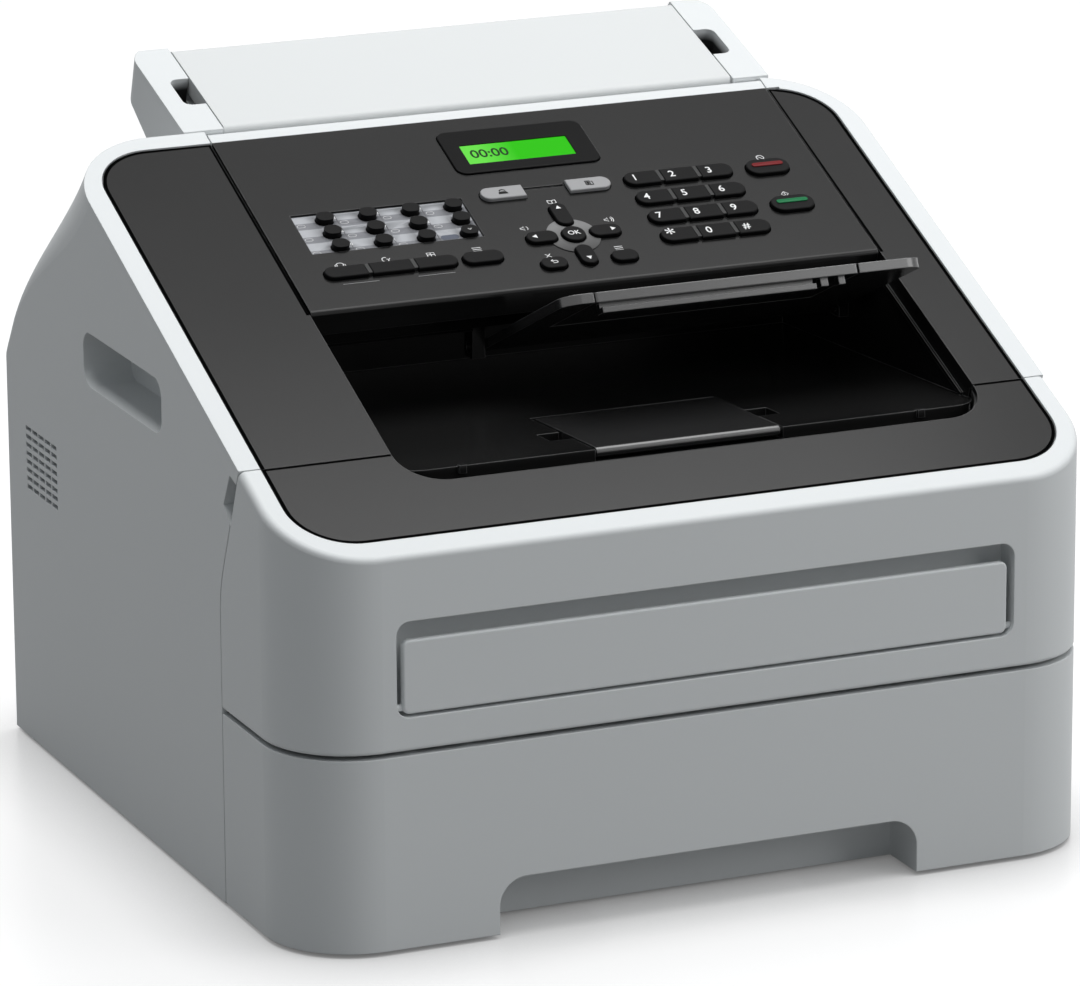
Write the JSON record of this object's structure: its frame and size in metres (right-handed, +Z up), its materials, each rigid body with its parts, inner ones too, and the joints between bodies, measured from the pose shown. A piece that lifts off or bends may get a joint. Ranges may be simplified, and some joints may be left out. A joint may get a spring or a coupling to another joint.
{
  "type": "desktop fax machine",
  "caption": "Compact desktop laser fax machine with a sloping key panel, document tray on top, output bay with folding supports, hinged covers and a front paper tray.",
  "frame": {"origin": "centre of the outline on the plane of the feet", "axes": "+X to the right seen from the front, +Y to the rear, +Z up"},
  "size_m": [0.368, 0.36, 0.3092],
  "materials": {
    "light_plastic": "fine-grained moulded light grey",
    "dark_plastic": "satin charcoal",
    "dark_gloss": "glossy dark plate",
    "black_key": "black keys",
    "grey_key": "light grey keys",
    "rubber": "soft rubber",
    "steel": "zinc-plated sheet",
    "board": "printed circuit board",
    "black_plastic": "black moulded parts inside"
  },
  "bodies": {
    "chassis": {"base_frame": "black_plastic", "rubber_feet": "rubber", "drum_unit": "black_plastic", "toner_cartridge": "black_plastic", "laser_unit": "black_plastic", "drive_motor": "steel", "circuit_boards": "board", "left_side_cover": "light_plastic", "right_side_cover": "light_plastic", "rear_cover": "light_plastic", "top_cover": "dark_plastic", "scanner_base": "dark_plastic", "image_sensor": "black_plastic", "document_tray": "light_plastic"},
    "front_cover": {"front_cover": "light_plastic", "front_cover_trim": "dark_plastic"},
    "control_panel": {"control_panel": "dark_plastic", "panel_rear_trim": "light_plastic", "display_board": "dark_gloss"},
    "manual_feed_cover": {"manual_feed_cover": "light_plastic"},
    "paper_tray": {"paper_tray": "light_plastic"},
    "paper_lift_plate": {"paper_lift_plate": "steel"},
    "document_support": {"document_support": "light_plastic"},
    "document_output_support": {"document_output_support": "dark_gloss"},
    "output_support_extension": {"output_support_extension": "dark_gloss"},
    "output_tray_flap": {"output_tray_flap": "dark_plastic"},
    "rear_door": {"rear_door": "light_plastic"},
    "heat_roller": {"heat_roller": "steel"},
    "pressure_roller": {"pressure_roller": "rubber"},
    "pickup_roller": {"pickup_roller": "rubber"},
    "document_feed_roller": {"document_feed_roller": "rubber"},
    "power_switch": {"power_switch": "black_plastic"},
    "clear_key": {"clear_key": "black_key"},
    "copy_mode_key": {"copy_mode_key": "grey_key"},
    "dial_0_key": {"dial_0_key": "black_key"},
    "dial_1_key": {"dial_1_key": "black_key"},
    "dial_2_key": {"dial_2_key": "black_key"},
    "dial_3_key": {"dial_3_key": "black_key"},
    "dial_4_key": {"dial_4_key": "black_key"},
    "dial_5_key": {"dial_5_key": "black_key"},
    "dial_6_key": {"dial_6_key": "black_key"},
    "dial_7_key": {"dial_7_key": "black_key"},
    "dial_8_key": {"dial_8_key": "black_key"},
    "dial_9_key": {"dial_9_key": "black_key"},
    "dial_hash_key": {"dial_hash_key": "black_key"},
    "dial_star_key": {"dial_star_key": "black_key"},
    "down_key": {"down_key": "black_key"},
    "fax_mode_key": {"fax_mode_key": "grey_key"},
    "hook_key": {"hook_key": "black_key"},
    "left_key": {"left_key": "black_key"},
    "menu_key": {"menu_key": "black_key"},
    "ok_key": {"ok_key": "black_key"},
    "one_touch_keys": {"one_touch_keys": "black_key"},
    "options_key": {"options_key": "black_key"},
    "redial_key": {"redial_key": "black_key"},
    "resolution_key": {"resolution_key": "black_key"},
    "right_key": {"right_key": "black_key"},
    "start_key": {"start_key": "black_key"},
    "stop_key": {"stop_key": "black_key"},
    "up_key": {"up_key": "black_key"}
  },
  "joints": [
    {"name": "front_cover_hinge", "type": "hinge", "parent": "chassis", "child": "front_cover", "pos_m": [0, -0.175, 0.0936], "axis": [1, 0, 0], "range_deg": [0, 72]},
    {"name": "paper_tray_slide", "type": "slide", "parent": "chassis", "child": "paper_tray", "axis": [0, -1, 0], "range_m": [0, 0.2]},
    {"name": "control_panel_hinge", "type": "hinge", "parent": "chassis", "child": "control_panel", "pos_m": [0, 0.09107, 0.28093], "axis": [-1, 0, 0], "range_deg": [0, 60]},
    {"name": "document_support_hinge", "type": "hinge", "parent": "chassis", "child": "document_support", "pos_m": [0, 0.15801, 0.30339], "axis": [-1, 0, 0], "range_deg": [0, 120]},
    {"name": "document_output_support_hinge", "type": "hinge", "parent": "chassis", "child": "document_output_support", "pos_m": [0, 0.005, 0.201], "axis": [1, 0, 0], "range_deg": [0, 26]},
    {"name": "output_tray_flap_hinge", "type": "hinge", "parent": "chassis", "child": "output_tray_flap", "pos_m": [0, -0.1251, 0.18625], "axis": [1, 0, 0], "range_deg": [0, 140]},
    {"name": "manual_feed_cover_hinge", "type": "hinge", "parent": "front_cover", "child": "manual_feed_cover", "pos_m": [0, -0.1765, 0.1045], "axis": [1, 0, 0], "range_deg": [0, 85]},
    {"name": "output_support_extension_hinge", "type": "hinge", "parent": "document_output_support", "child": "output_support_extension", "pos_m": [0, -0.07958, 0.23919], "axis": [1, 0, 0], "range_deg": [0, 165]},
    {"name": "rear_door_hinge", "type": "hinge", "parent": "chassis", "child": "rear_door", "pos_m": [0, 0.167, 0.1005], "axis": [-1, 0, 0], "range_deg": [0, 70]},
    {"name": "paper_lift_plate_hinge", "type": "hinge", "parent": "paper_tray", "child": "paper_lift_plate", "pos_m": [0, -0.015, 0.009], "axis": [-1, 0, 0], "range_deg": [0, 12]},
    {"name": "power_switch_rock", "type": "hinge", "parent": "chassis", "child": "power_switch", "pos_m": [0.1775, 0.1205, 0.047], "axis": [0, 0, -1], "range_deg": [0, 14.5]},
    {"name": "heat_roller_spin", "type": "hinge", "parent": "chassis", "child": "heat_roller", "pos_m": [0, 0.105, 0.138], "axis": [1, 0, 0], "continuous": true},
    {"name": "pressure_roller_spin", "type": "hinge", "parent": "chassis", "child": "pressure_roller", "pos_m": [0, 0.105, 0.1137], "axis": [1, 0, 0], "continuous": true},
    {"name": "pickup_roller_spin", "type": "hinge", "parent": "chassis", "child": "pickup_roller", "pos_m": [0, -0.12, 0.0745], "axis": [1, 0, 0], "continuous": true},
    {"name": "document_feed_roller_spin", "type": "hinge", "parent": "chassis", "child": "document_feed_roller", "pos_m": [0, 0.07887, 0.25557], "axis": [1, 0, 0], "continuous": true},
    {"name": "start_key_press", "type": "slide", "parent": "control_panel", "child": "start_key", "axis": [0, 0.3939, -0.9191], "range_m": [0, 0.001], "stiffness_N_per_m": 200},
    {"name": "stop_key_press", "type": "slide", "parent": "control_panel", "child": "stop_key", "axis": [0, 0.3939, -0.9191], "range_m": [0, 0.001], "stiffness_N_per_m": 200},
    {"name": "dial_0_key_press", "type": "slide", "parent": "control_panel", "child": "dial_0_key", "axis": [0, 0.3939, -0.9191], "range_m": [0, 0.001], "stiffness_N_per_m": 200},
    {"name": "dial_1_key_press", "type": "slide", "parent": "control_panel", "child": "dial_1_key", "axis": [0, 0.3939, -0.9191], "range_m": [0, 0.001], "stiffness_N_per_m": 200},
    {"name": "dial_2_key_press", "type": "slide", "parent": "control_panel", "child": "dial_2_key", "axis": [0, 0.3939, -0.9191], "range_m": [0, 0.001], "stiffness_N_per_m": 200},
    {"name": "dial_3_key_press", "type": "slide", "parent": "control_panel", "child": "dial_3_key", "axis": [0, 0.3939, -0.9191], "range_m": [0, 0.001], "stiffness_N_per_m": 200},
    {"name": "dial_4_key_press", "type": "slide", "parent": "control_panel", "child": "dial_4_key", "axis": [0, 0.3939, -0.9191], "range_m": [0, 0.001], "stiffness_N_per_m": 200},
    {"name": "dial_5_key_press", "type": "slide", "parent": "control_panel", "child": "dial_5_key", "axis": [0, 0.3939, -0.9191], "range_m": [0, 0.001], "stiffness_N_per_m": 200},
    {"name": "dial_6_key_press", "type": "slide", "parent": "control_panel", "child": "dial_6_key", "axis": [0, 0.3939, -0.9191], "range_m": [0, 0.001], "stiffness_N_per_m": 200},
    {"name": "dial_7_key_press", "type": "slide", "parent": "control_panel", "child": "dial_7_key", "axis": [0, 0.3939, -0.9191], "range_m": [0, 0.001], "stiffness_N_per_m": 200},
    {"name": "dial_8_key_press", "type": "slide", "parent": "control_panel", "child": "dial_8_key", "axis": [0, 0.3939, -0.9191], "range_m": [0, 0.001], "stiffness_N_per_m": 200},
    {"name": "dial_9_key_press", "type": "slide", "parent": "control_panel", "child": "dial_9_key", "axis": [0, 0.3939, -0.9191], "range_m": [0, 0.001], "stiffness_N_per_m": 200},
    {"name": "dial_hash_key_press", "type": "slide", "parent": "control_panel", "child": "dial_hash_key", "axis": [0, 0.3939, -0.9191], "range_m": [0, 0.001], "stiffness_N_per_m": 200},
    {"name": "dial_star_key_press", "type": "slide", "parent": "control_panel", "child": "dial_star_key", "axis": [0, 0.3939, -0.9191], "range_m": [0, 0.001], "stiffness_N_per_m": 200},
    {"name": "clear_key_press", "type": "slide", "parent": "control_panel", "child": "clear_key", "axis": [0, 0.3939, -0.9191], "range_m": [0, 0.001], "stiffness_N_per_m": 200},
    {"name": "copy_mode_key_press", "type": "slide", "parent": "control_panel", "child": "copy_mode_key", "axis": [0, 0.3939, -0.9191], "range_m": [0, 0.001], "stiffness_N_per_m": 200},
    {"name": "down_key_press", "type": "slide", "parent": "control_panel", "child": "down_key", "axis": [0, 0.3939, -0.9191], "range_m": [0, 0.001], "stiffness_N_per_m": 200},
    {"name": "fax_mode_key_press", "type": "slide", "parent": "control_panel", "child": "fax_mode_key", "axis": [0, 0.3939, -0.9191], "range_m": [0, 0.001], "stiffness_N_per_m": 200},
    {"name": "hook_key_press", "type": "slide", "parent": "control_panel", "child": "hook_key", "axis": [0, 0.3939, -0.9191], "range_m": [0, 0.001], "stiffness_N_per_m": 200},
    {"name": "left_key_press", "type": "slide", "parent": "control_panel", "child": "left_key", "axis": [0, 0.3939, -0.9191], "range_m": [0, 0.001], "stiffness_N_per_m": 200},
    {"name": "menu_key_press", "type": "slide", "parent": "control_panel", "child": "menu_key", "axis": [0, 0.3939, -0.9191], "range_m": [0, 0.001], "stiffness_N_per_m": 200},
    {"name": "ok_key_press", "type": "slide", "parent": "control_panel", "child": "ok_key", "axis": [0, 0.3939, -0.9191], "range_m": [0, 0.001], "stiffness_N_per_m": 200},
    {"name": "one_touch_keys_press", "type": "slide", "parent": "control_panel", "child": "one_touch_keys", "axis": [0, 0.3939, -0.9191], "range_m": [0, 0.001], "stiffness_N_per_m": 600},
    {"name": "options_key_press", "type": "slide", "parent": "control_panel", "child": "options_key", "axis": [0, 0.3939, -0.9191], "range_m": [0, 0.001], "stiffness_N_per_m": 200},
    {"name": "redial_key_press", "type": "slide", "parent": "control_panel", "child": "redial_key", "axis": [0, 0.3939, -0.9191], "range_m": [0, 0.001], "stiffness_N_per_m": 200},
    {"name": "resolution_key_press", "type": "slide", "parent": "control_panel", "child": "resolution_key", "axis": [0, 0.3939, -0.9191], "range_m": [0, 0.001], "stiffness_N_per_m": 200},
    {"name": "right_key_press", "type": "slide", "parent": "control_panel", "child": "right_key", "axis": [0, 0.3939, -0.9191], "range_m": [0, 0.001], "stiffness_N_per_m": 200},
    {"name": "up_key_press", "type": "slide", "parent": "control_panel", "child": "up_key", "axis": [0, 0.3939, -0.9191], "range_m": [0, 0.001], "stiffness_N_per_m": 200}
  ],
  "couplings": [
    {"joint": "pressure_roller_spin", "follows": "heat_roller_spin", "ratio": -1}
  ]
}
